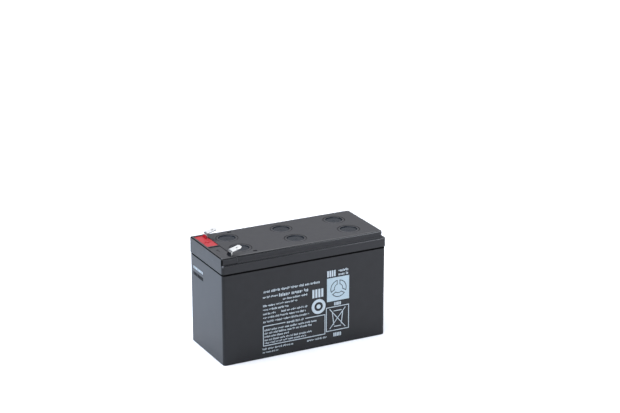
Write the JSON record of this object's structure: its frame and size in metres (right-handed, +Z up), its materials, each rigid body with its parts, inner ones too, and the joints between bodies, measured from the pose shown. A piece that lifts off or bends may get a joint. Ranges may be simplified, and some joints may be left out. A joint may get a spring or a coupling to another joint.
{
  "type": "sealed lead-acid battery",
  "caption": "Small sealed battery block in a dark plastic case with a stepped lid, round valve covers and push-on tab terminals set in red and black resin at one end.",
  "frame": {"origin": "middle of the underside", "axes": "+X along the length, away from the terminals; +Y towards the plain long side, with the printed long side facing -Y; +Z up"},
  "size_m": [0.151, 0.065, 0.0991],
  "materials": {
    "container": "dark grey moulded ABS, fine satin texture",
    "lid": "dark grey moulded ABS, satin",
    "positive_resin": "red epoxy resin, poured, glossy",
    "negative_resin": "black epoxy resin, poured, satin",
    "tab_metal": "bright tin plate over brass",
    "cast_lead": "dull cast lead",
    "valve_cover": "blue-grey moulded ABS, smooth",
    "vent_rubber": "black moulded rubber",
    "positive_mass": "brown lead-oxide plate on a cast lead grid",
    "negative_mass": "grey spongy lead plate on a cast lead grid",
    "glass_mat": "white felted glass fibre",
    "print_ink": "pale blue-grey pad-printed ink"
  },
  "bodies": {
    "root": {"container": "container", "lid": "lid", "positive_resin": "positive_resin", "negative_resin": "negative_resin", "positive_tab": "tab_metal", "negative_tab": "tab_metal", "positive_post": "cast_lead", "negative_post": "cast_lead", "cell_weld_1": "cast_lead", "cell_weld_2": "cast_lead", "cell_weld_3": "cast_lead", "cell_weld_4": "cast_lead", "cell_weld_5": "cast_lead", "valve_cover_1": "valve_cover", "valve_cover_2": "valve_cover", "valve_cover_3": "valve_cover", "valve_cover_4": "valve_cover", "valve_cover_5": "valve_cover", "valve_cover_6": "valve_cover", "vent_cap_1": "vent_rubber", "vent_cap_2": "vent_rubber", "vent_cap_3": "vent_rubber", "vent_cap_4": "vent_rubber", "vent_cap_5": "vent_rubber", "vent_cap_6": "vent_rubber", "positive_plates_1": "positive_mass", "positive_plates_2": "positive_mass", "positive_plates_3": "positive_mass", "positive_plates_4": "positive_mass", "positive_plates_5": "positive_mass", "positive_plates_6": "positive_mass", "negative_plates_1": "negative_mass", "negative_plates_2": "negative_mass", "negative_plates_3": "negative_mass", "negative_plates_4": "negative_mass", "negative_plates_5": "negative_mass", "negative_plates_6": "negative_mass", "glass_mats_1": "glass_mat", "glass_mats_2": "glass_mat", "glass_mats_3": "glass_mat", "glass_mats_4": "glass_mat", "glass_mats_5": "glass_mat", "glass_mats_6": "glass_mat", "front_print": "print_ink", "end_stamp": "print_ink"}
  },
  "joints": []
}
